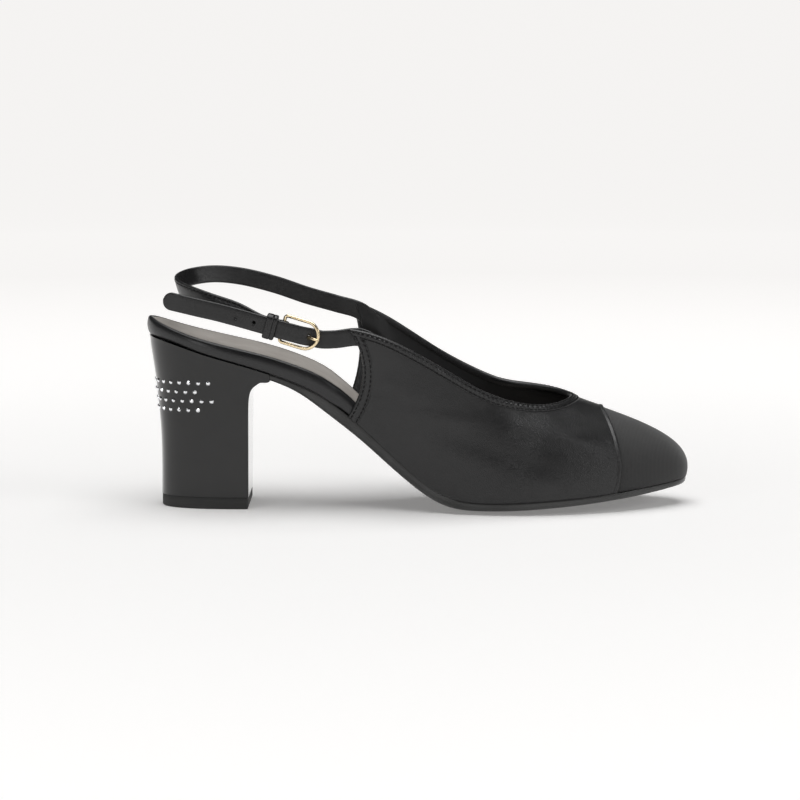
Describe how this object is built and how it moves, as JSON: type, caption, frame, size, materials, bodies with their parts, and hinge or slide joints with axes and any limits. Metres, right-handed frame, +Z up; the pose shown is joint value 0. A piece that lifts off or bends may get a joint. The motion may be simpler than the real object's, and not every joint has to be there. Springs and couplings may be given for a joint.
{
  "type": "slingback pump",
  "caption": "Right slingback pump with a block heel, a cloth toe cap, banded topline and a heel strap that fastens with a small D buckle and keeper.",
  "frame": {"origin": "on the floor, under the middle of the shoe's box", "axes": "+X to the toe, +Y to the inner side, +Z up; the shoe stands on its tread and its top piece at z = 0"},
  "size_m": [0.2318, 0.075, 0.1007],
  "materials": {
    "black_nappa": "soft fine-grained leather, half matt",
    "cap_cloth": "fine ribbed cloth, matt",
    "patent_cover": "smooth patent gloss",
    "heel_rubber": "matt black rubber",
    "sole_leather": "smooth, waxed edge, glossy under the waist",
    "sock_leather": "smooth warm grey leather, matt",
    "pale_gold": "polished pale gold plate"
  },
  "bodies": {
    "root": {"outsole": "sole_leather", "footbed": "black_nappa", "sock_lining": "sock_leather", "heel": "patent_cover", "top_piece": "heel_rubber", "upper": "black_nappa", "toe_cap": "cap_cloth", "sling_strap": "black_nappa", "billet_strap": "black_nappa", "buckle_frame": "pale_gold", "buckle_prong": "pale_gold", "keeper": "black_nappa"}
  },
  "joints": []
}
